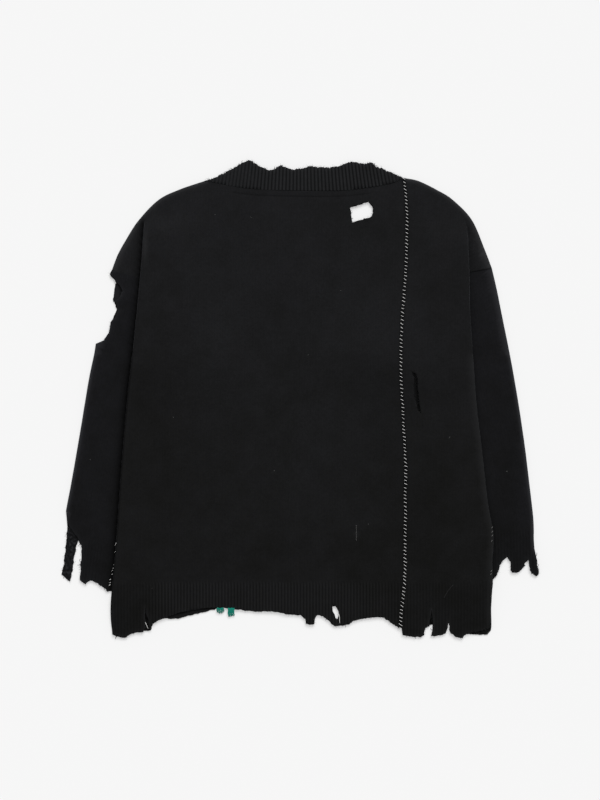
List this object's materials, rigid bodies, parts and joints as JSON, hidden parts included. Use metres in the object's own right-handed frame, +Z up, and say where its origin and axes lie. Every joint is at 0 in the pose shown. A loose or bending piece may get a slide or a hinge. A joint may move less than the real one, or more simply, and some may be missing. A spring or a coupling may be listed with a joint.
{
  "type": "darned wool sweater",
  "caption": "Oversized black knit pullover laid flat back side up, sleeves tucked under its sides, with torn edges, holes and a hand-darned seam.",
  "frame": {"origin": "centre of the bounding box, on the surface that the pullover lies on", "axes": "+Z up from the surface towards the back of the garment, +Y towards the collar, +X to the wearer's right"},
  "size_m": [0.7148, 0.7148, 0.0175],
  "materials": {
    "body_knit": "matt black dense wool stockinette, soft halo of fibres",
    "sleeve_knit": "matt black dense wool stockinette, ribbed and torn at the cuff",
    "band_knit": "matt black wool one-by-one rib with a torn edge"
  },
  "bodies": {
    "root": {"back_main": "body_knit", "back_side": "body_knit", "front": "body_knit", "sleeve_left_top": "sleeve_knit", "sleeve_left_under": "sleeve_knit", "sleeve_right_top": "sleeve_knit", "sleeve_right_under": "sleeve_knit", "neckband_back": "band_knit", "neckband_front": "band_knit"}
  },
  "joints": []
}
